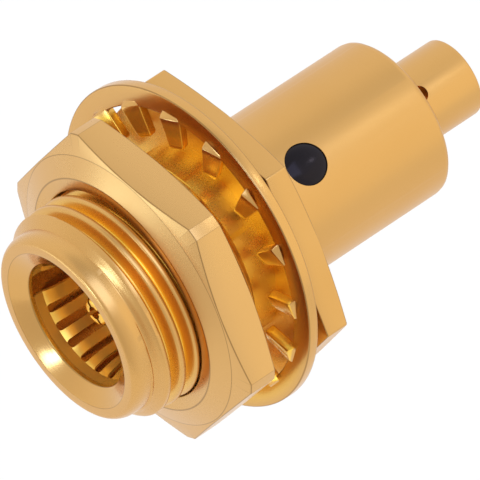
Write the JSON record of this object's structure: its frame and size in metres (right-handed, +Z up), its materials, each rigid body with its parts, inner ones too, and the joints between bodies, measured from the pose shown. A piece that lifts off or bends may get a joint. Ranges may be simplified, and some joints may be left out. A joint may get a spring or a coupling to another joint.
{
  "type": "blind-mate coaxial connector",
  "caption": "Gold-plated blind-mate coaxial connector: slotted contact band in a threaded mouth, hex flange with nut and lock washer, and a rear solder sleeve for semi-rigid cable.",
  "frame": {"origin": "centre of the hexagonal flange's front face, where the panel seats, on the connector's axis", "axes": "Y along the connector's axis with the mating mouth facing -Y and the solder sleeve facing +Y; +Z up, square to one of the flange's flats"},
  "size_m": [0.0148, 0.0212, 0.0147],
  "materials": {
    "gold_plate": "gold plate over machined metal, satin",
    "ptfe": "smooth white fluoropolymer",
    "epoxy": "glossy black resin"
  },
  "bodies": {
    "connector": {"body": "gold_plate", "contact_band": "gold_plate", "center_contact": "gold_plate", "insulator_bead": "ptfe", "epoxy_plug": "epoxy"},
    "washer": {"lock_washer": "gold_plate"},
    "nut": {"hex_nut": "gold_plate"}
  },
  "joints": [
    {"name": "nut_travel", "type": "slide", "parent": "connector", "child": "washer", "axis": [0, -1, 0], "range_m": [0, 0.00421]},
    {"name": "nut_turn", "type": "hinge", "parent": "washer", "child": "nut", "pos_m": [0, 0, 0], "axis": [0, -1, 0], "range_deg": [0, 1908]}
  ],
  "couplings": [
    {"joint": "nut_turn", "follows": "nut_travel", "rad_per_m": 7913.3}
  ]
}
